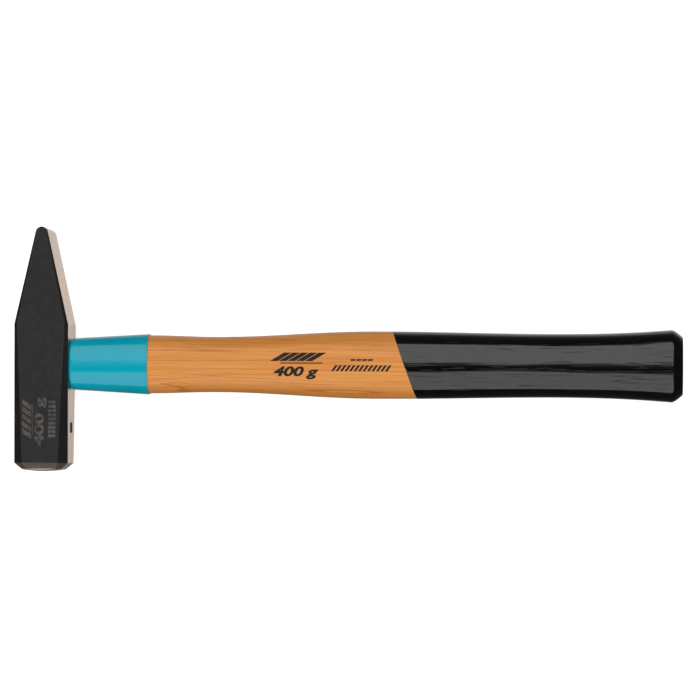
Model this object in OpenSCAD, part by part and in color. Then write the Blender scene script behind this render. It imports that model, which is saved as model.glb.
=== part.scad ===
// Cross-peen engineer's hammer with a wedged wooden handle, lying on its cheek.
// The origin is on the lower cheek, straight under the middle of the eye. +X runs along
// the handle to the butt, +Y points to the peen and +Z is up, all in millimetres.

/* [Head] */
// Width of the head along the handle
head_w = 25; // [24:0.5:27]
// Thickness of the head from cheek to cheek
head_t = 25; // [24.7:0.1:27]
// Distance from the middle of the eye to the tip of the peen
peen_reach = 63; // [58:0.5:75]
// Distance from the middle of the eye to the bend where the peen starts to taper
bend_y = 18; // [15:0.1:22]
// Radius of the rounded peen tip
tip_r = 2.9; // [2:0.1:4]
// Distance from the middle of the eye to the middle of the striking face
face_reach = 49.7; // [44:0.1:60]
// Width of the polished bevel around the striking face
face_bevel = 3.1; // [1.5:0.1:4]
// Crown radius of the striking face
crown_r = 65; // [60:5:160]
// Corner chamfer of the body at the bend
corner_small = 1.4; // [0.6:0.1:2]
// Corner chamfer where the bevel of the striking face begins
corner_large = 4.2; // [2.5:0.1:5]
// Edge chamfer of the peen at the bend and at the tip
peen_edge = [1.2, 0.5]; // [0.2:0.1:2]

/* [Eye] */
// Half-length and half-width of the eye at its slimmest
eye_waist = [9.6, 6.4]; // [6:0.1:9.8]
// How much wider both halves are where the handle goes in
eye_flare_in = 0.5; // [0.2:0.1:0.5]
// How much wider both halves are where the wedges are driven
eye_flare_out = 1.0; // [0.6:0.1:1.2]
// How far the wood and the wedges stay below the surface of the head
eye_recess = 0.4; // [0.1:0.1:1]

/* [Handle] */
// Distance from the middle of the eye to the butt of the handle
handle_reach = 294.6; // [280:0.2:330]
// Half-height, half-depth and squareness of the wood next to the sleeve
neck = [13.45, 10.95, 2.6]; // [2:0.05:14]
// Half-height, half-depth and squareness at the slimmest part of the neck
waist = [12.78, 10.5, 2.4]; // [2:0.02:14]
// Half-height, half-depth and squareness at the swell of the grip
swell = [15.52, 11.7, 2.3]; // [2:0.02:17]
// Half-height, half-depth and squareness at the hollow before the butt
hollow = [14.54, 11.3, 2.3]; // [2:0.02:16]
// Half-height, half-depth and squareness of the butt
butt = [16.66, 12.35, 2.4]; // [2:0.05:18]
// Distance from the middle of the eye to the waist, the swell and the hollow
stations = [80, 154, 237]; // [70:1:250]
// Length of the rounded chamfer at the butt
butt_chamfer = 4.8; // [3:0.1:8]
// How far that chamfer draws the section in
butt_draw = 3.2; // [2:0.1:5]

/* [Sleeve] */
// Length of the protective sleeve
sleeve_l = 36.7; // [30:0.1:40]
// Wall of the sleeve
sleeve_wall = 0.8; // [0.6:0.1:0.9]
// Half-height, half-depth and squareness of the sleeve at the head
sleeve_start = [11.86, 10.3, 2.9]; // [2:0.02:12]
// Half-height, half-depth and squareness of the sleeve at its open end
sleeve_end = [14.02, 11.5, 2.6]; // [2:0.02:15]
// Outer radius of the lip that is turned in at the head
lip_r = 1.6; // [1.2:0.1:1.7]

/* [Wedges] */
// Thickness of the wooden wedge at its thick end and at its thin end
wedge_t = [3.2, 1.2]; // [0.8:0.1:4]
// Depth of the wooden wedge
wedge_l = 17; // [15:0.5:20]
// Outer radius of the steel ring wedge at its top and at its edge
ring_r = [5.4, 4.9]; // [4.7:0.1:5.6]
// Radius of the hole in the steel ring wedge
ring_hole_r = 4.2; // [3.6:0.1:4.4]
// Depth of the steel ring wedge
ring_l = 12; // [8:0.5:13]

/* [Stamp] */
// Width along the thickness, height and depth of the blank stamp recess
stamp = [7, 4.7, 0.3]; // [0.1:0.1:8]
// Distance from the middle of the eye to the stamp recess, towards the striking face
stamp_y = 29.5; // [22:0.5:36]

/* [Hidden] */

$fn = 64;
// Corners of each section of the handle, the sleeve and the eye
sides = 40;
// Clearance by which a cutter passes through the surface that it opens
past = 1;
// Edge length of the blocks that cut the flat faces, longer than the head
block = 160;

half_w = head_w / 2;
half_t = head_t / 2;
tip_y = peen_reach - tip_r;
// Angle of the slopes of the peen, tangent to its round tip
taper = atan(half_w / (tip_y - bend_y)) - asin(tip_r / norm([half_w, tip_y - bend_y]));
// The bevel starts where its inner edge meets the crowned face
crown_sag = crown_r - sqrt(pow(crown_r, 2) - pow(half_w - face_bevel, 2));
bevel_y = face_reach - crown_sag - face_bevel;
corner_tilt = atan((corner_large - corner_small) / sqrt(2) / (bend_y + bevel_y));
slope_l = norm([half_w - tip_r * cos(taper), tip_y + tip_r * sin(taper) - bend_y]);
peen_tilt = atan((peen_edge[0] - peen_edge[1]) / sqrt(2) / slope_l);
// Distance from the long axis of the head to its corner chamfers at the bevel
corner_reach = (half_w + half_t - corner_large) / sqrt(2);

tenon_x = -half_w + eye_recess;
sleeve_x = half_w + sleeve_l;
chamfer_x = handle_reach - butt_chamfer;

// ---- sections and lofts ----

function ease(t) = (1 - cos(180 * t)) / 2;

function signed_pow(v, e) = sign(v) * pow(abs(v), e);

// Corners of a superellipse in the YZ plane at x; size holds half-height, half-depth, squareness
function section(x, size) = [
    for (i = [0 : sides - 1])
        let (a = 360 * i / sides, e = 2 / size[2])
            [x, size[0] * signed_pow(cos(a), e), size[1] * signed_pow(sin(a), e)]
];

// Same section, drawn in by d all round
function inset(size, d) = size - [d, d, 0];

function blend(from, to, t) = from + (to - from) * t;

// Faces between one ring of corners and the next
function wall(a, b) = [
    for (i = [0 : sides - 1])
        let (j = (i + 1) % sides)
            [a * sides + i, b * sides + i, b * sides + j, a * sides + j]
];

// Solid through a list of sections, closed at both ends
module loft(sections) {
    last = len(sections) - 1;
    start = [for (i = [0 : sides - 1]) i];
    end = [for (i = [sides - 1 : -1 : 0]) last * sides + i];
    walls = [for (k = [0 : last - 1]) each wall(k, k + 1)];
    polyhedron([for (s = sections) each s], concat([start], walls, [end]));
}

// Hollow solid through a list of sections that runs out along the outside and back inside
module loft_ring(sections) {
    count = len(sections);
    walls = [for (k = [0 : count - 1]) each wall(k, (k + 1) % count)];
    polyhedron([for (s = sections) each s], walls);
}

// ---- the eye ----

function eye_size(x) =
    let (flare = x < 0 ? eye_flare_out : eye_flare_in, grow = flare * pow(x / half_w, 2))
        [eye_waist[0] + grow, eye_waist[1] + grow, 2.3];

function eye_section(x) = section(x, eye_size(x));

eye_steps = [-half_w, -0.75 * half_w, -half_w / 2, 0, half_w / 2, half_w];

module eye_hole() {
    xs = concat([-half_w - past], eye_steps, [half_w + past]);
    loft([for (x = xs) eye_section(x)]);
}

// ---- the head ----

module head_profile() {
    tangent = [tip_r * cos(taper), tip_y + tip_r * sin(taper)];
    polygon([
        [-half_w, -face_reach - past],
        [half_w, -face_reach - past],
        [half_w, bend_y],
        tangent,
        [-tangent[0], tangent[1]],
        [-half_w, bend_y]
    ]);
    translate([0, tip_y]) circle(r = tip_r);
}

// Block that fills the half-space above z = 0
module above_plane() {
    translate([-block / 2, -block / 2, 0]) cube(block);
}

// Long corner chamfer that widens towards the striking face
module corner_cut() {
    translate([half_w, bend_y, half_t])
        rotate([0, 45, 0])
            translate([0, 0, -corner_small / sqrt(2)])
                rotate([corner_tilt, 0, 0])
                    above_plane();
}

// Chamfer along one edge of a slope of the peen, which narrows towards the tip
module peen_edge_cut() {
    translate([half_w, bend_y, half_t])
        rotate([0, 0, taper])
            rotate([0, 45, 0])
                translate([0, 0, -peen_edge[0] / sqrt(2)])
                    rotate([peen_tilt, 0, 0])
                        above_plane();
}

// Bevel on one side of the striking face, at the given distance from the long axis
module bevel_cut(angle, distance) {
    rotate([0, angle, 0])
        translate([0, -bevel_y, distance])
            rotate([45, 0, 0])
                above_plane();
}

module at_four_corners() {
    for (a = [0, 1], b = [0, 1])
        mirror([a, 0, 0]) mirror([0, 0, b]) children();
}

module stamp_recess() {
    translate([half_w - stamp[2], -stamp_y - stamp[1] / 2, -stamp[0] / 2])
        cube([stamp[2] + past, stamp[1], stamp[0]]);
}

module crown() {
    translate([0, crown_r - face_reach, 0]) sphere(r = crown_r, $fn = 180);
}

module hammer_head() {
    color([0.42, 0.41, 0.41])
        on_bench()
            intersection() {
                difference() {
                    translate([0, 0, -half_t]) linear_extrude(head_t) head_profile();
                    at_four_corners() {
                        corner_cut();
                        peen_edge_cut();
                    }
                    for (side = [0 : 90 : 270]) {
                        bevel_cut(side, side % 180 == 0 ? half_t : half_w);
                        bevel_cut(side + 45, corner_reach);
                    }
                    stamp_recess();
                    eye_hole();
                }
                crown();
            }
}

// ---- the wedges ----

// Flat wedge that tapers down into the eye, starting the given distance above its thick end
module wedge_plate(above) {
    thick = wedge_t[0] + (wedge_t[0] - wedge_t[1]) * above / wedge_l;
    translate([tenon_x, 0, 0])
        rotate([90, 0, 0])
            linear_extrude(2 * head_w, center = true)
                polygon([
                    [-above, -thick / 2],
                    [wedge_l, -wedge_t[1] / 2],
                    [wedge_l, wedge_t[1] / 2],
                    [-above, thick / 2]
                ]);
}

// Conical tube with a straight hole, starting the given distance above its thick end
module ring(above) {
    top_r = ring_r[0] + (ring_r[0] - ring_r[1]) * above / ring_l;
    translate([tenon_x, 0, 0])
        rotate([0, 90, 0])
            rotate_extrude()
                polygon([
                    [ring_hole_r, -above],
                    [top_r, -above],
                    [ring_r[1], ring_l],
                    [ring_hole_r, ring_l]
                ]);
}

module wood_wedge() {
    color([0.80, 0.66, 0.44])
        on_bench()
            difference() {
                intersection() {
                    wedge_plate(past);
                    loft(tenon_sections());
                }
                ring(past);
            }
}

module ring_wedge() {
    color([0.62, 0.62, 0.60])
        on_bench() ring(0);
}

// ---- the sleeve ----

function sleeve_size(x) = blend(sleeve_start, sleeve_end, (x - half_w) / sleeve_l);

// Quarter turn of the lip at the head, for a surface that lies d inside the outer one
function lip_sections(d) = [
    for (a = [0 : 22.5 : 90])
        let (r = lip_r - d, x = half_w + lip_r - r * cos(a))
            section(x, inset(sleeve_size(x), lip_r - r * sin(a)))
];

// Surface that lies d inside the outer one, from the lip to the open end
function sleeve_run(d) = concat(
    lip_sections(d),
    [for (t = [0.25 : 0.25 : 1])
        let (x = half_w + lip_r + (sleeve_l - lip_r) * t)
            section(x, inset(sleeve_size(x), d))]
);

function reversed(list) = [for (i = [len(list) - 1 : -1 : 0]) list[i]];

module handle_sleeve() {
    color([0.05, 0.62, 0.68])
        on_bench() loft_ring(concat(sleeve_run(0), reversed(sleeve_run(sleeve_wall))));
}

// ---- the handle ----

function tenon_sections() = [
    for (x = concat([tenon_x], [for (s = eye_steps) if (s > tenon_x) s])) eye_section(x)
];

// Sections after x0, up to x1, easing from one size to the next
function eased_run(x0, x1, from, to, steps) = [
    for (i = [1 : steps])
        let (t = i / steps)
            section(x0 + (x1 - x0) * t, blend(from, to, ease(t)))
];

// The flare to the butt starts gently and keeps growing
function flare_run(steps) = [
    for (i = [1 : steps])
        let (t = i / steps)
            section(stations[2] + (chamfer_x - stations[2]) * t, blend(hollow, butt, pow(t, 2.2)))
];

function chamfer_run(steps) = [
    for (i = [1 : steps])
        let (t = i / steps)
            section(chamfer_x + butt_chamfer * t, inset(butt, butt_draw * (0.65 * t + 0.35 * t * t)))
];

function handle_sections() = concat(
    tenon_sections(),
    [section(half_w, inset(sleeve_start, lip_r))],
    sleeve_run(sleeve_wall),
    [section(sleeve_x, neck)],
    eased_run(sleeve_x, stations[0], neck, waist, 5),
    eased_run(stations[0], stations[1], waist, swell, 8),
    eased_run(stations[1], stations[2], swell, hollow, 6),
    flare_run(7),
    chamfer_run(3)
);

module handle() {
    color([0.87, 0.66, 0.36])
        on_bench()
            difference() {
                loft(handle_sections());
                wedge_plate(past);
                ring(past);
            }
}

// ---- the assembly ----

// Lifts what is drawn around the handle's axis so that the lower cheek lies on z = 0
module on_bench() {
    translate([0, 0, half_t]) children();
}

hammer_head();
handle();
handle_sleeve();
wood_wedge();
ring_wedge();
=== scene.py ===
"""Looks of the cross-peen engineer's hammer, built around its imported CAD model.

Metres, in the frame of the CAD model: the hammer lies on its cheek, +X runs along the handle
to the butt, +Y points to the peen and +Z is up.
"""
import math

import bmesh
import bpy
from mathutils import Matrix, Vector, noise


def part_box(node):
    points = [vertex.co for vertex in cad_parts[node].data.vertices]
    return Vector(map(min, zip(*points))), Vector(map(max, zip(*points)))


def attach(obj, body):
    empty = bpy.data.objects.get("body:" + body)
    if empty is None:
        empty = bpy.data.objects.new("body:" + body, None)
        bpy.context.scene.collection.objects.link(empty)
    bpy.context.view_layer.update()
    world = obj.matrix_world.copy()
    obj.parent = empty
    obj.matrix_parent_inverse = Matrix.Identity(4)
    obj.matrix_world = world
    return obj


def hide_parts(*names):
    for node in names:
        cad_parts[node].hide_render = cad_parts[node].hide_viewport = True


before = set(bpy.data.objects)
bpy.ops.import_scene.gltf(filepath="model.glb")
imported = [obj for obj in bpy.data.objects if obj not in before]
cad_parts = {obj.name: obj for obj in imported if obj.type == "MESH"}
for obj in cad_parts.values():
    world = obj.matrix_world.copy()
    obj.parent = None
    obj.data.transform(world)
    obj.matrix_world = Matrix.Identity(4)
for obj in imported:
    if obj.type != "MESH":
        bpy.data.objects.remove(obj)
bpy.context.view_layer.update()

MM = 0.001

# ---- sizes from the frame ----

head_low, head_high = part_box("hammer_head")
handle_low, handle_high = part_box("handle")
sleeve_low, sleeve_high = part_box("handle_sleeve")
wedge_low, wedge_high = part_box("wood_wedge")
ring_low, ring_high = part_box("ring_wedge")

HALF_W = head_high.x
HALF_T = (head_high.z - head_low.z) / 2
AXIS_Z = (head_high.z + head_low.z) / 2
PEEN_REACH = head_high.y
FACE_REACH = -head_low.y
SLEEVE_X = sleeve_high.x
TENON_X = handle_low.x
BUTT_X = handle_high.x

# ---- sizes that the frame's boxes don't give, the same as in the design ----

BEND_Y = 18 * MM
TIP_R = 2.9 * MM
FACE_BEVEL = 3.1 * MM
CROWN_R = 65 * MM
CORNER_SMALL = 1.4 * MM
CORNER_LARGE = 4.2 * MM
PEEN_EDGE = (1.2 * MM, 0.5 * MM)
EYE_WAIST = (9.6 * MM, 6.4 * MM)
EYE_FLARE_IN = 0.5 * MM
EYE_FLARE_OUT = 1.0 * MM
EYE_SQUARENESS = 2.3
SLEEVE_WALL = 0.8 * MM
LIP_R = 1.6 * MM
BUTT_CHAMFER = 4.8 * MM
BUTT_DRAW = 3.2 * MM
WEDGE_THIN = 1.2 * MM
RING_HOLE_R = 4.2 * MM
RING_EDGE_R = 4.9 * MM
STAMP = (7 * MM, 4.7 * MM, 0.3 * MM)
STAMP_Y = 29.5 * MM

# Half-height, half-depth and squareness of the sections
SLEEVE_START = (11.86 * MM, 10.3 * MM, 2.9)
SLEEVE_END = (sleeve_high.y, (sleeve_high.z - sleeve_low.z) / 2, 2.6)
NECK = (13.45 * MM, 10.95 * MM, 2.6)
WAIST = (12.78 * MM, 10.5 * MM, 2.4)
SWELL = (15.52 * MM, 11.7 * MM, 2.3)
HOLLOW = (14.54 * MM, 11.3 * MM, 2.3)
BUTT = (handle_high.y, (handle_high.z - handle_low.z) / 2, 2.4)
WAIST_X, SWELL_X, HOLLOW_X = 80 * MM, 154 * MM, 237 * MM

# Two points of the slanted edge of the black lacquer, on the upper and the lower outline
LACQUER_EDGE = (Vector((162 * MM, 15.2 * MM, 0)), Vector((173 * MM, -15.4 * MM, 0)))
LACQUER_THICK = 0.10 * MM


# ---- materials ----

class Shade:
    """A procedural material whose patterns follow the hammer's own coordinates."""

    def __init__(self, name, **sockets):
        self.mat = bpy.data.materials.new(name)
        self.mat.use_nodes = True
        self.nodes = self.mat.node_tree.nodes
        self.links = self.mat.node_tree.links
        self.bsdf = self.nodes["Principled BSDF"]
        self.coords = self.nodes.new("ShaderNodeTexCoord").outputs["Object"]
        for socket, value in sockets.items():
            self.bsdf.inputs[socket.replace("_", " ")].default_value = value

    def add(self, kind, inputs=(), **settings):
        node = self.nodes.new("ShaderNode" + kind)
        for key, value in settings.items():
            setattr(node, key, value)
        for key, value in dict(inputs).items():
            if isinstance(value, bpy.types.NodeSocket):
                self.links.new(value, node.inputs[key])
            else:
                node.inputs[key].default_value = value
        return node

    def noise(self, scale, detail=3, roughness=0.5, offset=(0, 0, 0), bend=None):
        """Noise with its own scale along each axis, in cycles a metre."""
        vector = self.coords if bend is None else bend
        mapped = self.add("Mapping", {"Vector": vector, "Scale": scale, "Location": offset})
        return self.add("TexNoise", {"Vector": mapped.outputs[0], "Scale": 1.0, "Detail": detail,
                                     "Roughness": roughness}).outputs["Fac"]

    def bent(self, scale, amount):
        """The coordinates, pushed about by a slow noise: amount in metres."""
        mapped = self.add("Mapping", {"Vector": self.coords, "Scale": scale})
        slow = self.add("TexNoise", {"Vector": mapped.outputs[0], "Scale": 1.0, "Detail": 2.0})
        centred = self.add("VectorMath", {0: slow.outputs["Color"], 1: (0.5, 0.5, 0.5)},
                           operation="SUBTRACT")
        push = self.add("VectorMath", {0: centred.outputs[0], 1: amount}, operation="MULTIPLY")
        return self.add("VectorMath", {0: self.coords, 1: push.outputs[0]},
                        operation="ADD").outputs[0]

    def ramp(self, value, low, high, out_low=0.0, out_high=1.0):
        return self.add("MapRange", {"Value": value, "From Min": low, "From Max": high,
                                     "To Min": out_low, "To Max": out_high},
                        interpolation_type="SMOOTHSTEP").outputs["Result"]

    def math(self, operation, a, b):
        return self.add("Math", {0: a, 1: b}, operation=operation).outputs[0]

    def colour(self, factor, a, b):
        mix = self.add("Mix", data_type="RGBA")
        for socket, value in zip((mix.inputs[0], mix.inputs[6], mix.inputs[7]), (factor, a, b)):
            if isinstance(value, bpy.types.NodeSocket):
                self.links.new(value, socket)
            else:
                socket.default_value = (*value, 1.0)
        return mix.outputs[2]

    def bump(self, height, distance, below=None):
        """Relief of that height in metres, on top of another relief."""
        inputs = {"Height": height, "Distance": distance, "Strength": 1.0}
        if below is not None:
            inputs["Normal"] = below
        return self.add("Bump", inputs).outputs["Normal"]

    def set(self, **values):
        for socket, value in values.items():
            self.links.new(value, self.bsdf.inputs[socket.replace("_", " ")])
        return self.mat


def head_paint(name, dark, light):
    """Satin black forging paint over a slightly uneven surface."""
    s = Shade(name, Metallic=0.0, IOR=1.45, Specular_IOR_Level=0.24)
    mottle = s.noise((420, 260, 420), detail=5, roughness=0.65)
    grit = s.noise((1900, 1300, 1900), detail=3, roughness=0.6, offset=(3, 1, 7))
    clouds = s.noise((60, 45, 60), detail=2, offset=(8, 6, 2))
    base = s.colour(s.ramp(mottle, 0.32, 0.68), dark, light)
    base = s.colour(s.ramp(clouds, 0.35, 0.65, 0.0, 0.5), base, (0.0062, 0.0060, 0.0064))
    rough = s.ramp(mottle, 0.3, 0.7, 0.54, 0.42)
    relief = s.bump(mottle, 0.16 * MM)
    relief = s.bump(grit, 0.035 * MM, relief)
    return s.set(Base_Color=base, Roughness=rough, Normal=relief)


def ground_steel(name, bright, dark, roughness, streaks, grind=0.006,
                 edge_tint=(1.0, 0.93, 0.885)):
    """Bright steel with fine grinding lines that run along the axis with the low streak rate."""
    s = Shade(name, Metallic=1.0, Specular_Tint=(*edge_tint, 1.0))
    lines = s.noise(streaks, detail=4, roughness=0.65)
    cloud = s.noise((140, 90, 140), detail=3, offset=(5, 2, 1))
    shade = s.math("MULTIPLY", s.ramp(lines, 0.3, 0.7), s.ramp(cloud, 0.2, 0.8, 0.55, 1.0))
    base = s.colour(shade, dark, bright)
    rough = s.ramp(lines, 0.3, 0.7, roughness * 1.15, roughness * 0.85)
    relief = s.bump(lines, grind * MM)
    return s.set(Base_Color=base, Roughness=rough, Normal=relief)


def sleeve_paint():
    """Glossy blue-green paint with a faint orange peel."""
    s = Shade("blue_green_paint", Metallic=0.0, IOR=1.42, Specular_IOR_Level=0.42)
    peel = s.noise((260, 420, 420), detail=2)
    tone = s.noise((60, 60, 60), detail=4, offset=(9, 4, 2))
    dust = s.noise((1500, 1500, 1500), detail=2, offset=(1, 8, 3))
    base = s.colour(s.ramp(tone, 0.3, 0.7), (0.0, 0.266, 0.352), (0.0, 0.284, 0.370))
    rough = s.ramp(dust, 0.3, 0.75, 0.11, 0.15)
    relief = s.bump(peel, 0.022 * MM)
    return s.set(Base_Color=base, Roughness=rough, Normal=relief)


def wood_pattern(s):
    """Figure of the hickory, long in X: ring saw-tooth, ripple, fibres and pore dashes."""
    coords = s.bent((7, 26, 26), (0.0, 0.004, 0.004))
    field = s.noise((1.5, 95, 60), detail=1, roughness=0.4, bend=coords, offset=(4, 3, 6))
    rings = s.math("FRACT", s.math("MULTIPLY", field, 15.0), 0.0)
    ripple = s.noise((13, 430, 430), detail=2, roughness=0.5, bend=coords, offset=(6, 2, 9))
    fibres = s.noise((17, 1000, 1000), detail=3, roughness=0.6, bend=coords, offset=(2, 5, 1))
    pores = s.noise((48, 1900, 1900), detail=2, roughness=0.5, bend=coords, offset=(7, 3, 4))
    return rings, ripple, fibres, pores


def clear_wood():
    """Hickory under a clear lacquer."""
    s = Shade("clear_hickory", Metallic=0.0, IOR=1.42, Specular_IOR_Level=0.32)
    rings, ripple, fibres, pores = wood_pattern(s)
    tone = s.noise((9, 60, 60), detail=3, offset=(3, 7, 5))
    base = s.colour(s.ramp(tone, 0.35, 0.65), (0.537, 0.203, 0.037), (0.527, 0.214, 0.048))
    base = s.colour(s.ramp(rings, 0.35, 1.0, 0.0, 0.42), base, (0.448, 0.153, 0.025))
    base = s.colour(s.ramp(ripple, 0.42, 0.72, 0.0, 0.55), base, (0.424, 0.144, 0.026))
    base = s.colour(s.ramp(fibres, 0.40, 0.70, 0.0, 0.55), base, (0.606, 0.256, 0.062))
    line = s.math("MULTIPLY", s.ramp(rings, 0.86, 0.985), s.ramp(pores, 0.36, 0.60, 0.2, 0.85))
    base = s.colour(line, base, (0.300, 0.088, 0.014))
    base = s.colour(s.ramp(pores, 0.62, 0.72, 0.0, 0.55), base, (0.300, 0.088, 0.014))
    rough = s.ramp(fibres, 0.3, 0.7, 0.40, 0.33)
    relief = s.bump(ripple, 0.018 * MM)
    relief = s.bump(s.ramp(pores, 0.60, 0.72, 1.0, 0.0), 0.006 * MM, relief)
    return s.set(Base_Color=base, Roughness=rough, Normal=relief)


def black_lacquer():
    """Black gloss dip lacquer that shows the pores of the wood under it."""
    s = Shade("black_dip_lacquer", Metallic=0.0, IOR=1.5)
    rings, ripple, fibres, pores = wood_pattern(s)
    base = s.colour(s.ramp(ripple, 0.35, 0.7), (0.0014, 0.0011, 0.0009), (0.0024, 0.0019, 0.0015))
    grooves = s.math("MAXIMUM", s.ramp(pores, 0.61, 0.70),
                     s.math("MULTIPLY", s.ramp(rings, 0.86, 0.98), s.ramp(pores, 0.42, 0.58)))
    gloss = s.ramp(grooves, 0.0, 1.0, 0.5, 0.28)
    rough = s.ramp(grooves, 0.0, 1.0, 0.085, 0.25)
    relief = s.bump(ripple, 0.05 * MM)
    relief = s.bump(fibres, 0.004 * MM, relief)
    relief = s.bump(s.ramp(grooves, 0.0, 1.0, 1.0, 0.0), 0.008 * MM, relief)
    return s.set(Base_Color=base, Roughness=rough, Specular_IOR_Level=gloss, Normal=relief)


def end_grain():
    """Sawn end grain in the eye: rings and open pores seen end on."""
    s = Shade("end_grain", Metallic=0.0, IOR=1.4)
    coords = s.bent((40, 60, 60), (0.0, 0.0008, 0.0008))
    rings = s.noise((5, 520, 90), detail=3, bend=coords)
    pores = s.noise((900, 2600, 2600), detail=2, offset=(1, 1, 5))
    base = s.colour(s.ramp(rings, 0.35, 0.65), (0.43, 0.235, 0.095), (0.27, 0.125, 0.045))
    base = s.colour(s.ramp(pores, 0.58, 0.70, 0.0, 0.8), base, (0.10, 0.045, 0.02))
    rough = s.ramp(rings, 0.3, 0.7, 0.55, 0.7)
    relief = s.bump(s.ramp(pores, 0.55, 0.7, 1.0, 0.0), 0.05 * MM)
    return s.set(Base_Color=base, Roughness=rough, Normal=relief)


def wedge_wood():
    """Paler wood of the wedge, with its fibres along the eye's short side."""
    s = Shade("wedge_beech", Metallic=0.0, IOR=1.4)
    fibres = s.noise((70, 900, 1400), detail=4, roughness=0.6)
    flecks = s.noise((400, 1500, 700), detail=2, offset=(4, 2, 8))
    base = s.colour(s.ramp(fibres, 0.3, 0.7), (0.52, 0.33, 0.17), (0.38, 0.20, 0.085))
    base = s.colour(s.ramp(flecks, 0.6, 0.72, 0.0, 0.6), base, (0.22, 0.10, 0.04))
    rough = s.ramp(fibres, 0.3, 0.7, 0.6, 0.5)
    return s.set(Base_Color=base, Roughness=rough, Normal=s.bump(fibres, 0.03 * MM))


def print_ink():
    """Matt black ink, a little worn where the fibres of the wood stand up."""
    s = Shade("print_ink", Metallic=0.0, IOR=1.4, Specular_IOR_Level=0.25)
    fibres = s.noise((40, 1400, 1400), detail=3)
    base = s.colour(s.ramp(fibres, 0.55, 0.75), (0.010, 0.007, 0.005), (0.050, 0.026, 0.012))
    rough = s.ramp(fibres, 0.3, 0.7, 0.5, 0.6)
    return s.set(Base_Color=base, Roughness=rough, Normal=s.bump(fibres, 0.006 * MM))


PAINT = head_paint("black_forging_paint", (0.0078, 0.0070, 0.0068), (0.0128, 0.0116, 0.0114))
# Lighter paint for the tops of the raised marks: partly rubbed paint, partly a painted highlight
# standing in for light catching their tops
RUBBED_AND_HIGHLIT = head_paint("rubbed_and_highlit_forging_paint", (0.030, 0.027, 0.025), (0.075, 0.068, 0.062))
STEEL = ground_steel("ground_steel", (0.73, 0.65, 0.58), (0.60, 0.52, 0.45),
                     roughness=0.34, streaks=(1900, 70, 1900))
POLISHED = ground_steel("polished_steel", (0.62, 0.54, 0.48), (0.46, 0.39, 0.34),
                        roughness=0.34, streaks=(500, 1400, 120), grind=0.003)
EYE_STEEL = ground_steel("eye_steel", (0.30, 0.27, 0.25), (0.16, 0.14, 0.13),
                         roughness=0.5, streaks=(90, 1200, 1200))
SLEEVE_PAINT = sleeve_paint()
CLEAR_WOOD = clear_wood()
LACQUER = black_lacquer()
END_GRAIN = end_grain()
INK = print_ink()
WEDGE_WOOD = wedge_wood()
RING_STEEL = ground_steel("ring_steel", (0.62, 0.60, 0.57), (0.44, 0.42, 0.40),
                          roughness=0.3, streaks=(400, 1500, 1500))

# Material slots of the head, where the cutter of the eye adds slot 3, and of the handle
PAINT_SLOT, STEEL_SLOT, POLISHED_SLOT, RUBBED_AND_HIGHLIT_SLOT = 0, 1, 2, 4
LACQUER_SLOT, END_GRAIN_SLOT, INK_SLOT = 1, 2, 3


# ---- sections and lofts ----

def ease(t):
    return (1 - math.cos(math.pi * t)) / 2


def between(a, b, t):
    return tuple(p + (q - p) * t for p, q in zip(a, b))


def inset(size, d):
    return (size[0] - d, size[1] - d, size[2])


def section(x, size, sides):
    """Corners of a superellipse around the handle's axis."""
    power = 2 / size[2]
    ring = []
    for i in range(sides):
        c, s = math.cos(math.tau * i / sides), math.sin(math.tau * i / sides)
        ring.append((x, size[0] * math.copysign(abs(c) ** power, c),
                     AXIS_Z + size[1] * math.copysign(abs(s) ** power, s)))
    return ring


def loft(name, rings, closed=False, materials=()):
    """Mesh through rings of equal count; closed joins the last ring to the first, like a tube."""
    sides = len(rings[0])
    points = [p for ring in rings for p in ring]
    faces = []
    for k in range(len(rings) if closed else len(rings) - 1):
        a, b = k * sides, (k + 1) % len(rings) * sides
        faces += [(a + i, a + (i + 1) % sides, b + (i + 1) % sides, b + i) for i in range(sides)]
    if not closed:
        faces.append(tuple(range(sides - 1, -1, -1)))
        faces.append(tuple(range(len(points) - sides, len(points))))
    mesh = bpy.data.meshes.new(name)
    mesh.from_pydata(points, [], faces)
    mesh.update()
    for mat in materials:
        mesh.materials.append(mat)
    return mesh


def new_object(name, mesh):
    obj = bpy.data.objects.new(name, mesh)
    bpy.context.scene.collection.objects.link(obj)
    return obj


def applied(obj):
    """Replaces an object's mesh by the result of its modifiers."""
    graph = bpy.context.evaluated_depsgraph_get()
    mesh = bpy.data.meshes.new_from_object(obj.evaluated_get(graph))
    obj.modifiers.clear()
    obj.data = mesh


def cut(obj, *cutters):
    """Takes the cutters, which have to be closed meshes, out of an object and removes them."""
    for cutter in cutters:
        boolean = obj.modifiers.new("cut", "BOOLEAN")
        boolean.operation = "DIFFERENCE"
        boolean.solver = "MANIFOLD"
        boolean.object = cutter
        boolean.material_mode = "TRANSFER"
    applied(obj)
    for cutter in cutters:
        bpy.data.objects.remove(cutter)


def finish_piece(obj, node, smooth_angle=35):
    """Smooth shading that keeps flat faces flat, and the piece's place in the assembly."""
    obj.data.shade_smooth()
    normals = obj.modifiers.new("normals", "WEIGHTED_NORMAL")
    normals.keep_sharp = True
    obj.data.set_sharp_from_angle(angle=math.radians(smooth_angle))
    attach(obj, "root")
    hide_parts(node)


# ---- the eye ----

def eye_size(x, grow=0.0):
    flare = EYE_FLARE_OUT if x < 0 else EYE_FLARE_IN
    extra = flare * (x / HALF_W) ** 2 + grow
    return (EYE_WAIST[0] + extra, EYE_WAIST[1] + extra, EYE_SQUARENESS)


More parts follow.
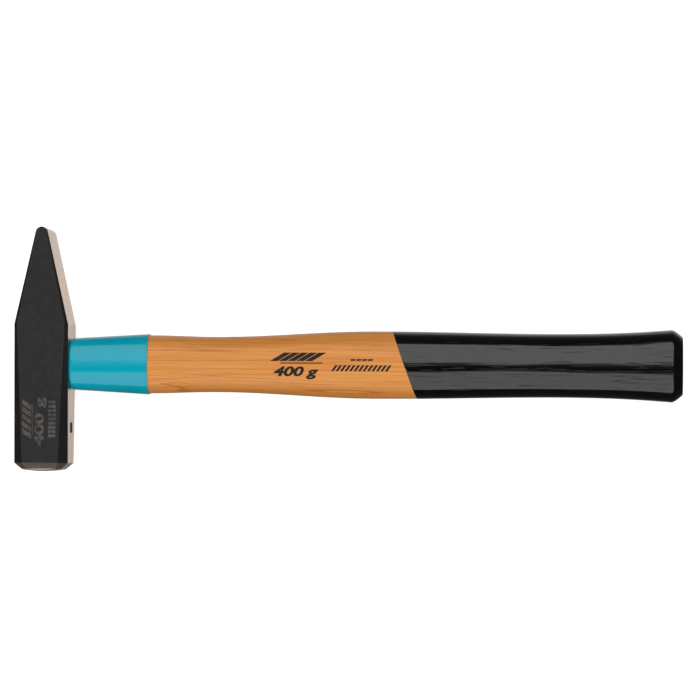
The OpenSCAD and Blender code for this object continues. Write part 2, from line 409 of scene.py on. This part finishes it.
def eye_cutter(sides=128):
    """The eye with a rounded rim at the wedged side, running past both sides of the head."""
    rim = 0.5 * MM
    rings = [section(-HALF_W - 1 * MM, eye_size(-HALF_W, rim + 1 * MM), sides)]
    for a in range(0, 91, 15):
        x = -HALF_W + rim * math.sin(math.radians(a))
        rings.append(section(x, eye_size(x, rim * (1 - math.sin(math.radians(a)))), sides))
    rings += [section(HALF_W * t, eye_size(HALF_W * t), sides) for t in (-0.75, -0.4, 0, 0.4, 0.75, 1)]
    rings.append(section(HALF_W + 1 * MM, eye_size(HALF_W), sides))
    return new_object("eye_cutter", loft("eye_cutter", rings, materials=[EYE_STEEL]))


# ---- the head ----

def peen_taper():
    """Angle of the slopes of the peen, which run tangent to its round tip."""
    centre = PEEN_REACH - TIP_R
    run = centre - BEND_Y
    return math.atan(HALF_W / run) - math.asin(TIP_R / math.hypot(HALF_W, run))


def head_outline(tip_steps=16):
    """Side outline of the head, before its face is bevelled, from the face round to the face."""
    taper, centre = peen_taper(), PEEN_REACH - TIP_R
    points = [(-HALF_W, -FACE_REACH - 1 * MM), (HALF_W, -FACE_REACH - 1 * MM), (HALF_W, BEND_Y)]
    for i in range(tip_steps + 1):
        a = taper + (math.pi - 2 * taper) * i / tip_steps
        points.append((TIP_R * math.cos(a), centre + TIP_R * math.sin(a)))
    points.append((-HALF_W, BEND_Y))
    return points


def slice_off(bm, point, normal, slot):
    """Cuts away what lies beyond a plane and closes the cut with one face."""
    geometry = bm.verts[:] + bm.edges[:] + bm.faces[:]
    bmesh.ops.bisect_plane(bm, geom=geometry, plane_co=point, plane_no=normal, clear_outer=True,
                           dist=1e-7)
    open_edges = [e for e in bm.edges if e.is_boundary]
    if open_edges:
        made = bmesh.ops.contextual_create(bm, geom=open_edges)
        for face in made["faces"]:
            face.material_index = slot


def crown_drop(x, z):
    return CROWN_R - math.sqrt(CROWN_R ** 2 - x * x - z * z)


def head_solid():
    """The head's planes, cut one after another from the extruded outline, around its own middle."""
    bm = bmesh.new()
    outline = head_outline()
    low = [bm.verts.new((x, y, -HALF_T)) for x, y in outline]
    high = [bm.verts.new((x, y, HALF_T)) for x, y in outline]
    bm.faces.new(reversed(low)).material_index = PAINT_SLOT
    bm.faces.new(high).material_index = PAINT_SLOT
    for i in range(len(outline)):
        j = (i + 1) % len(outline)
        bm.faces.new((low[i], low[j], high[j], high[i])).material_index = STEEL_SLOT
    bevel_y = FACE_REACH - crown_drop(HALF_W - FACE_BEVEL, 0) - FACE_BEVEL
    tilt = math.atan((CORNER_LARGE - CORNER_SMALL) / math.sqrt(2) / (BEND_Y + bevel_y))
    taper = peen_taper()
    diagonal = math.sqrt(0.5)
    corners = [(a, b) for a in (-1, 1) for b in (-1, 1)]
    for a, b in corners:
        normal = Vector((a * diagonal, -math.tan(tilt), b * diagonal)).normalized()
        slice_off(bm, (a * (HALF_W - CORNER_SMALL), BEND_Y, b * HALF_T), normal, PAINT_SLOT)
    slope_l = math.hypot(HALF_W - TIP_R * math.cos(taper),
                         PEEN_REACH - TIP_R + TIP_R * math.sin(taper) - BEND_Y)
    narrowing = (PEEN_EDGE[0] - PEEN_EDGE[1]) / slope_l
    for a, b in corners:
        across = Vector((a * math.cos(taper), math.sin(taper), b))
        along = Vector((-a * math.sin(taper), math.cos(taper), 0))
        point = (a * HALF_W, BEND_Y, b * (HALF_T - PEEN_EDGE[0]))
        slice_off(bm, point, (across - along * narrowing).normalized(), PAINT_SLOT)
    reach = (HALF_W + HALF_T - CORNER_LARGE) * diagonal
    for k in range(8):
        out = Vector((math.cos(k * math.pi / 4), 0, math.sin(k * math.pi / 4)))
        distance = HALF_W if k % 2 == 0 else reach
        point = out * distance + Vector((0, -bevel_y, 0))
        slice_off(bm, point, (out + Vector((0, -1, 0))).normalized(), POLISHED_SLOT)
    crown_y = -FACE_REACH + crown_drop(HALF_W - FACE_BEVEL, 0)
    slice_off(bm, (0, crown_y, 0), (0, -1, 0), POLISHED_SLOT)
    bmesh.ops.remove_doubles(bm, verts=bm.verts[:], dist=1e-6)
    bmesh.ops.dissolve_degenerate(bm, edges=bm.edges[:], dist=1e-6)
    bm.normal_update()
    return bm


def around_tip(edge):
    """Whether an edge joins a cheek to the round tip of the peen."""
    heights = [abs(face.normal.z) for face in edge.link_faces]
    forward = [face.normal.y for face in edge.link_faces]
    return max(heights) > 0.99 and max(forward) > math.sin(peen_taper()) + 0.02


def soften_edges(bm):
    """Rounds the edges: soft where the forging is painted, crisp where it is ground."""
    weights = bm.edges.layers.float.get("bevel_weight_edge")
    if weights is None:
        weights = bm.edges.layers.float.new("bevel_weight_edge")
    for edge in bm.edges:
        if len(edge.link_faces) != 2 or edge.calc_face_angle(0) < math.radians(9):
            continue
        if around_tip(edge):
            continue
        slots = {face.material_index for face in edge.link_faces}
        if slots == {PAINT_SLOT}:
            edge[weights] = 1.0
        elif slots == {STEEL_SLOT}:
            edge[weights] = 0.8
        elif POLISHED_SLOT in slots:
            edge[weights] = 0.45
        else:
            edge[weights] = 0.35


def crown_face(bm):
    """Rebuilds the striking face as rings that follow its crown."""
    face = min(bm.faces, key=lambda f: (round(f.calc_center_median().y, 5), -f.calc_area()))
    rings = 10
    bmesh.ops.subdivide_edges(bm, edges=list(face.edges), cuts=5)
    loop = [loop.vert for loop in face.loops]
    middle = sum((v.co for v in loop), Vector()) / len(loop)
    bm.faces.remove(face)
    outer = loop
    for k in range(1, rings):
        share = 1 - k / rings
        inner = [bm.verts.new(middle + (v.co - middle) * share) for v in loop]
        for i in range(len(loop)):
            j = (i + 1) % len(loop)
            bm.faces.new((outer[i], outer[j], inner[j], inner[i])).material_index = POLISHED_SLOT
        outer = inner
    peak = bm.verts.new(middle)
    for i in range(len(outer)):
        bm.faces.new((outer[i], outer[(i + 1) % len(outer)], peak)).material_index = POLISHED_SLOT


def glyphs(body, x, y, height=0.0, edge=0.0, **style):
    """Mesh of a line of signs that fills a box; the sizes given are in millimetres."""
    curve = bpy.data.curves.new("signs", "FONT")
    curve.body = body
    curve.size = y[1] - y[0]
    curve.resolution_u = 5
    for key, value in style.items():
        setattr(curve, key, value)
    if height:
        curve.extrude = height / 2
        curve.bevel_depth = edge
        curve.bevel_resolution = 2
        curve.offset -= edge
    text = new_object("signs", curve)
    bpy.context.view_layer.update()
    mesh = bpy.data.meshes.new_from_object(text.evaluated_get(bpy.context.evaluated_depsgraph_get()))
    bpy.data.objects.remove(text)
    xs = [v.co.x for v in mesh.vertices]
    ys = [v.co.y for v in mesh.vertices]
    for v in mesh.vertices:
        v.co.x = x[0] + (v.co.x - min(xs)) / (max(xs) - min(xs)) * (x[1] - x[0])
        v.co.y = y[0] + (v.co.y - min(ys)) / (max(ys) - min(ys)) * (y[1] - y[0])
        v.co *= MM
    return mesh


def add_mesh(obj, mesh, slot, top_slot):
    """Adds loose shells to an object, with one material on top and one on their sides."""
    bm = bmesh.new()
    bm.from_mesh(obj.data)
    old = len(bm.faces)
    bm.from_mesh(mesh)
    bm.faces.ensure_lookup_table()
    for face in bm.faces[old:]:
        face.material_index = top_slot if face.normal.z > 0.3 else slot
    bm.to_mesh(obj.data)
    bm.free()


def add_marks(head):
    """Raised weight mark between two plain ornaments on the upper cheek, read along the head."""
    rows = [("/////", (-35.0, -16.6), (3.9, 8.3), 0.30),
            ("-", (-33.4, -18.2), (3.1, 3.4), 0.0),
            ("400 g", (-38.2, -15.8), (-3.2, 2.6), 0.20),
            ("|||||||||", (-34.2, -17.2), (-7.4, -3.9), 0.22)]
    for body, along, up, bold in rows:
        mesh = glyphs(body, along, up, height=0.3, edge=0.12, offset=bold)
        for v in mesh.vertices:
            v.co = Vector((-v.co.y, v.co.x, head_high.z + v.co.z))
        # Upward faces of the marks get the lighter paint, a painted highlight as well as rubbed wear;
        # their sides keep the black paint
        add_mesh(head, mesh, PAINT_SLOT, RUBBED_AND_HIGHLIT_SLOT)


def make_head():
    bm = head_solid()
    soften_edges(bm)
    bmesh.ops.bevel(bm, geom=[e for e in bm.edges if around_tip(e)], offset=0.6 * MM, segments=4,
                    profile=0.5, affect="EDGES", clamp_overlap=True, material=POLISHED_SLOT)
    mesh = bpy.data.meshes.new("hammer_head_forged")
    bm.to_mesh(mesh)
    bm.free()
    for mat in (PAINT, STEEL, POLISHED, EYE_STEEL, RUBBED_AND_HIGHLIT):
        mesh.materials.append(mat)
    head = new_object("forged_head", mesh)
    bevel = head.modifiers.new("edges", "BEVEL")
    bevel.limit_method = "WEIGHT"
    bevel.width = 0.45 * MM
    bevel.segments = 4
    bevel.miter_outer = "MITER_ARC"
    bevel.use_clamp_overlap = True
    bevel.material = -1
    applied(head)
    bm = bmesh.new()
    bm.from_mesh(head.data)
    crown_face(bm)
    rim_drop = crown_drop(HALF_W - FACE_BEVEL, 0)
    for v in bm.verts:
        behind_rim = (v.co.y + FACE_REACH - rim_drop) / (1.5 * MM)
        v.co.y += (crown_drop(v.co.x, v.co.z) - rim_drop) * (1 - min(max(behind_rim, 0), 1))
        v.co.z += AXIS_Z
    bmesh.ops.recalc_face_normals(bm, faces=bm.faces[:])
    bm.to_mesh(head.data)
    bm.free()
    bpy.ops.mesh.primitive_cube_add(size=1)
    stamp = bpy.context.object
    stamp.scale = (2 * STAMP[2], STAMP[1], STAMP[0])
    stamp.location = (HALF_W, -STAMP_Y, AXIS_Z)
    bpy.context.view_layer.update()
    stamp.data.materials.append(PAINT)
    cut(head, eye_cutter(), stamp)
    add_marks(head)
    finish_piece(head, "hammer_head")


# ---- the sleeve ----

def sleeve_size(x):
    return between(SLEEVE_START, SLEEVE_END, (x - HALF_W) / (SLEEVE_X - HALF_W))


def make_sleeve(sides=192):
    """Thin drawn sleeve: turned-in lip, long taper, rounded rim and inside wall."""
    rings = []
    for a in range(0, 91, 9):
        t = math.radians(a)
        x = HALF_W + LIP_R * (1 - math.cos(t))
        rings.append(section(x, inset(sleeve_size(x), LIP_R * (1 - math.sin(t))), sides))
    steps, start = 30, HALF_W + LIP_R
    rim = 0.22 * MM
    for k in range(1, steps + 1):
        x = start + (SLEEVE_X - rim - start) * k / steps
        rings.append(section(x, sleeve_size(x), sides))
    for a in range(15, 91, 15):
        t = math.radians(a)
        x = SLEEVE_X - rim + rim * math.sin(t)
        rings.append(section(x, inset(sleeve_size(SLEEVE_X), rim * (1 - math.cos(t))), sides))
    for a in range(75, -1, -15):
        t = math.radians(a)
        x = SLEEVE_X - rim + rim * math.sin(t)
        depth = SLEEVE_WALL - rim * (1 - math.cos(t))
        rings.append(section(x, inset(sleeve_size(SLEEVE_X), depth), sides))
    for k in range(4, -1, -1):
        x = start + (SLEEVE_X - rim - start) * k / 5
        rings.append(section(x, inset(sleeve_size(x), SLEEVE_WALL), sides))
    inner = LIP_R - SLEEVE_WALL
    for a in range(60, -1, -30):
        t = math.radians(a)
        x = HALF_W + LIP_R - inner * math.cos(t)
        rings.append(section(x, inset(sleeve_size(x), LIP_R - inner * math.sin(t)), sides))
    mesh = loft("neck_sleeve", rings, closed=True, materials=[SLEEVE_PAINT])
    finish_piece(new_object("neck_sleeve", mesh), "handle_sleeve", smooth_angle=60)


# ---- the handle ----

def grip_size(x):
    """Section of the bare handle between the sleeve and the chamfer of the butt."""
    if x < WAIST_X:
        return between(NECK, WAIST, ease((x - SLEEVE_X) / (WAIST_X - SLEEVE_X)))
    if x < SWELL_X:
        return between(WAIST, SWELL, ease((x - WAIST_X) / (SWELL_X - WAIST_X)))
    if x < HOLLOW_X:
        return between(SWELL, HOLLOW, ease((x - SWELL_X) / (HOLLOW_X - SWELL_X)))
    return between(HOLLOW, BUTT, ((x - HOLLOW_X) / (BUTT_X - BUTT_CHAMFER - HOLLOW_X)) ** 2.2)


def grain_relief(p):
    """Long ridges of the wood, from -1 to 1."""
    return noise.fractal(Vector((p[0] * 20, p[1] * 320, p[2] * 320)), 1.0, 2.0, 2)


def roughened(ring, depth):
    """Moves each corner of a ring in by the relief, so that nothing stands proud of the section."""
    moved = []
    for x, y, z in ring:
        out = Vector((0, y, z - AXIS_Z)).normalized()
        drop = depth * (0.5 + 0.5 * max(-1.0, min(1.0, grain_relief((x, y, z)))))
        moved.append((x, y - out.y * drop, z - out.z * drop))
    return moved


def handle_rings(sides):
    rings = [section(TENON_X, eye_size(TENON_X), sides)]
    rings += [section(HALF_W * t, eye_size(HALF_W * t), sides) for t in (-0.75, -0.4, 0, 0.4, 0.75, 1)]
    rings.append(section(HALF_W, inset(SLEEVE_START, LIP_R), sides))
    start = HALF_W + LIP_R
    rings.append(section(HALF_W + SLEEVE_WALL, inset(sleeve_size(HALF_W), LIP_R), sides))
    rings += [section(x, inset(sleeve_size(x), SLEEVE_WALL), sides)
              for x in (start + (SLEEVE_X - start) * k / 6 for k in range(7))]
    rings.append(section(SLEEVE_X, NECK, sides))
    steps, end = 240, BUTT_X - BUTT_CHAMFER
    crease = 0.5 * MM
    for k in range(1, steps + 1):
        x = SLEEVE_X + (end - crease - SLEEVE_X) * k / steps
        rings.append(roughened(section(x, grip_size(x), sides), 0.04 * MM))
    for k in range(0, 11):
        t = k / 10
        blur = 0.12 * MM * (1 - min(1.0, 4 * t)) ** 2
        size = inset(BUTT, BUTT_DRAW * (0.65 * t + 0.35 * t * t) + blur)
        rings.append(roughened(section(end + (BUTT_CHAMFER - 0.3 * MM) * t, size, sides), 0.04 * MM))
    edge = inset(BUTT, BUTT_DRAW)
    for share, x in ((0.985, BUTT_X - 0.12 * MM), (0.96, BUTT_X - 0.04 * MM), (0.9, BUTT_X - 0.01 * MM),
                     (0.75, BUTT_X), (0.55, BUTT_X), (0.35, BUTT_X), (0.15, BUTT_X)):
        rings.append(section(x, (edge[0] * share, edge[1] * share, edge[2]), sides))
    return rings


def lay_lacquer(mesh):
    """Splits the mesh along the slanted edge of the dip and raises the lacquer above the wood."""
    top, bottom = LACQUER_EDGE
    along = (bottom - top).normalized()
    normal = Vector((-along.y, along.x, 0))
    step = 0.2 * MM
    bm = bmesh.new()
    bm.from_mesh(mesh)
    for shift in (0, step):
        bmesh.ops.bisect_plane(bm, geom=bm.verts[:] + bm.edges[:] + bm.faces[:], dist=1e-7,
                               plane_co=top + normal * shift, plane_no=normal)
    for face in bm.faces:
        if (face.calc_center_median() - top).dot(normal) > 0:
            face.material_index = LACQUER_SLOT
        elif face.calc_center_median().x < TENON_X + 0.01 * MM:
            face.material_index = END_GRAIN_SLOT
    for vert in bm.verts:
        depth = (vert.co - top).dot(normal)
        if depth > 0.5 * step and vert.co.x < BUTT_X - BUTT_CHAMFER - 0.6 * MM:
            out = Vector((0, vert.co.y, vert.co.z - AXIS_Z)).normalized()
            fade = min(1.0, (BUTT_X - BUTT_CHAMFER - vert.co.x) / (40 * MM))
            vert.co += out * LACQUER_THICK * fade
    bm.to_mesh(mesh)
    bm.free()


def wedge_half_thickness(x):
    thick, thin = (wedge_high.z - wedge_low.z) / 2, WEDGE_THIN / 2
    return thick + (thin - thick) * (x - wedge_low.x) / (wedge_high.x - wedge_low.x)


def plate(name, start, end, half_length, gap=0.0, materials=()):
    """Flat tapered plate that spans the eye."""
    rings = []
    for x in (start, wedge_low.x + 4 * MM, wedge_low.x + 9 * MM, end):
        t, w = wedge_half_thickness(x) + gap, half_length + gap
        rings.append([(x, -w, AXIS_Z - t), (x, w, AXIS_Z - t), (x, w, AXIS_Z + t), (x, -w, AXIS_Z + t)])
    return new_object(name, loft(name, rings, materials=materials))


def ring_tube(name, start, gap=0.0, sides=96, materials=()):
    """Conical tube of the ring wedge with a slightly broken upper edge."""
    top_r = (ring_high.y - ring_low.y) / 2
    slope = (RING_EDGE_R - top_r) / (ring_high.x - ring_low.x)
    edge = 0.15 * MM if not gap else 0.0

    def circle(x, r):
        return [(x, r * math.cos(math.tau * i / sides), AXIS_Z + r * math.sin(math.tau * i / sides))
                for i in range(sides)]

    outer = top_r + slope * (start - ring_low.x)
    rings = [circle(start, outer - edge + gap), circle(start + edge, outer + gap),
             circle(ring_high.x + gap, RING_EDGE_R + gap), circle(ring_high.x + gap, RING_HOLE_R - gap),
             circle(start + edge, RING_HOLE_R - gap), circle(start, RING_HOLE_R + edge - gap)]
    if not edge:
        rings = [rings[0], rings[2], rings[3], rings[5]]
    return new_object(name, loft(name, rings, closed=True, materials=materials))


def surface_z(x, y):
    """Height of the upper side of the bare handle."""
    height, depth, squareness = grip_size(x)
    return AXIS_Z + depth * (1 - abs(y / height) ** squareness) ** (1 / squareness)


def add_print(handle):
    """Ink on the upper side of the wood: a weight mark and plain ornaments."""
    blocks = [("/////", (106.0, 132.0), (1.4, 5.3), 0.30),
              ("_", (110.6, 130.6), (0.25, 0.75), 0.0),
              ("400 g", (107.6, 128.4), (-6.9, -1.0), 0.22),
              ("- - - -", (143.0, 153.6), (1.6, 2.4), 0.10),
              ("|||||||||||||", (134.2, 162.0), (-3.2, -0.4), 0.10)]
    for body, x, y, bold in blocks:
        mesh = glyphs(body, x, y, offset=bold, shear=0.25)
        bm = bmesh.new()
        bm.from_mesh(mesh)
        for k in range(-14, 15):
            bmesh.ops.bisect_plane(bm, geom=bm.verts[:] + bm.edges[:] + bm.faces[:], dist=1e-8,
                                   plane_co=(0, k * 0.45 * MM, 0), plane_no=(0, 1, 0))
        for v in bm.verts:
            v.co.z = surface_z(v.co.x, v.co.y) + 0.015 * MM
        bm.to_mesh(mesh)
        bm.free()
        add_mesh(handle, mesh, INK_SLOT, INK_SLOT)


def make_handle(sides=224):
    rings = handle_rings(sides)
    mesh = loft("hickory_handle", rings, materials=[CLEAR_WOOD, LACQUER, END_GRAIN, INK])
    lay_lacquer(mesh)
    handle = new_object("hickory_handle", mesh)
    past = TENON_X - 1 * MM
    gap = 0.04 * MM
    cut(handle, plate("kerf", past, wedge_high.x, 14 * MM, gap), ring_tube("ring_slot", past, gap))
    add_print(handle)
    finish_piece(handle, "handle", smooth_angle=40)


def make_wedges():
    spread = wedge_high.y - 0.16 * MM
    wedge = plate("wood_wedge_plate", wedge_low.x, wedge_high.x, spread, materials=[WEDGE_WOOD])
    cut(wedge, ring_tube("ring_in_wedge", wedge_low.x - 1 * MM, 0.04 * MM))
    finish_piece(wedge, "wood_wedge")
    ring = ring_tube("steel_ring_wedge", ring_low.x, materials=[RING_STEEL])
    finish_piece(ring, "ring_wedge")


# ---- studio ----

def make_camera():
    """Long lens that looks down on the cheek, a little from the handle's side."""
    data = bpy.data.cameras.new("camera")
    data.sensor_width = 36
    data.lens = 181
    data.clip_end = 20
    camera = bpy.data.objects.new("camera", data)
    camera.location = (0.2762, -0.0473, 1.6265)
    camera.rotation_euler = (0.0340, 0.0828, 0.0064)
    bpy.context.scene.collection.objects.link(camera)
    bpy.context.scene.camera = camera


def softbox(name, low, high, side, length, radiance, distance=1.3):
    """Long panel over the hammer, from the low to the high angle off the vertical, in degrees."""
    target = Vector((BUTT_X / 2, 0, AXIS_Z))
    mid = math.radians((low + high) / 2) * side
    width = 2 * distance * math.tan(math.radians(high - low) / 2)
    data = bpy.data.lights.new(name, "AREA")
    data.shape = "RECTANGLE"
    data.size, data.size_y = length, width
    data.energy = 4 * length * width * radiance
    light = bpy.data.objects.new(name, data)
    light.location = target + distance * Vector((0, math.sin(mid), math.cos(mid)))
    light.rotation_mode = "QUATERNION"
    light.rotation_quaternion = (target - light.location).to_track_quat("-Z", "Y")
    light.visible_camera = False
    bpy.context.scene.collection.objects.link(light)


def make_world():
    """Dim surroundings that grow bright and warm straight below, as over a lit table."""
    world = bpy.data.worlds.new("studio")
    bpy.context.scene.world = world
    world.use_nodes = True
    nodes, links = world.node_tree.nodes, world.node_tree.links
    lean = nodes.new("ShaderNodeVectorMath")
    lean.operation = "DOT_PRODUCT"
    lean.inputs[1].default_value = (0, 0.5, -1)
    links.new(nodes.new("ShaderNodeTexCoord").outputs["Generated"], lean.inputs[0])
    span = nodes.new("ShaderNodeMapRange")
    span.inputs["From Min"].default_value = -1.2
    span.inputs["From Max"].default_value = 1.2
    links.new(lean.outputs["Value"], span.inputs["Value"])
    ramp = nodes.new("ShaderNodeValToRGB")
    links.new(span.outputs["Result"], ramp.inputs[0])
    links.new(ramp.outputs[0], nodes["Background"].inputs[0])
    stops = [(-1.2, 0.02, 1.0), (-0.7, 0.04, 1.0), (-0.4, 0.06, 1.0), (0.3, 0.07, 0.95),
             (0.7, 0.14, 0.90), (0.84, 0.28, 0.90), (0.92, 0.58, 0.92), (0.99, 0.92, 0.94),
             (1.2, 1.0, 0.94)]
    elements = ramp.color_ramp.elements
    while len(elements) < len(stops):
        elements.new(0.5)
    for element, (lean_at, level, cool) in zip(elements, stops):
        element.position = (lean_at + 1.2) / 2.4
        element.color = (level, level * (1 + cool) / 2, level * cool, 1)


def make_stage():
    """White floor and a white dome, seen by the camera only, so that they don't tint the gloss."""
    bpy.ops.mesh.primitive_plane_add(size=14, location=(0, 0, -0.1 * MM))
    floor = bpy.context.object
    floor.name = "floor"
    bpy.ops.mesh.primitive_uv_sphere_add(segments=48, ring_count=24, radius=6)
    dome = bpy.context.object
    dome.name = "backdrop"
    for obj, base, glow in ((floor, 0.5, 0.75), (dome, 0.0, 1.0)):
        s = Shade("stage_" + obj.name, Base_Color=(base, base, base, 1), Roughness=0.9,
                  Emission_Color=(1, 1, 1, 1), Emission_Strength=glow)
        obj.data.materials.append(s.mat)
        obj.visible_diffuse = False
        obj.visible_glossy = False
        obj.visible_transmission = False
        obj.visible_shadow = False


make_camera()
make_stage()
make_world()
softbox("softbox_upper", 2.5, 55, 1, 2.6, 1.7)
softbox("softbox_lower", 11, 73, -1, 2.6, 1.52)
bpy.context.scene.view_settings.view_transform = "Standard"

make_head()
make_sleeve()
make_handle()
make_wedges()
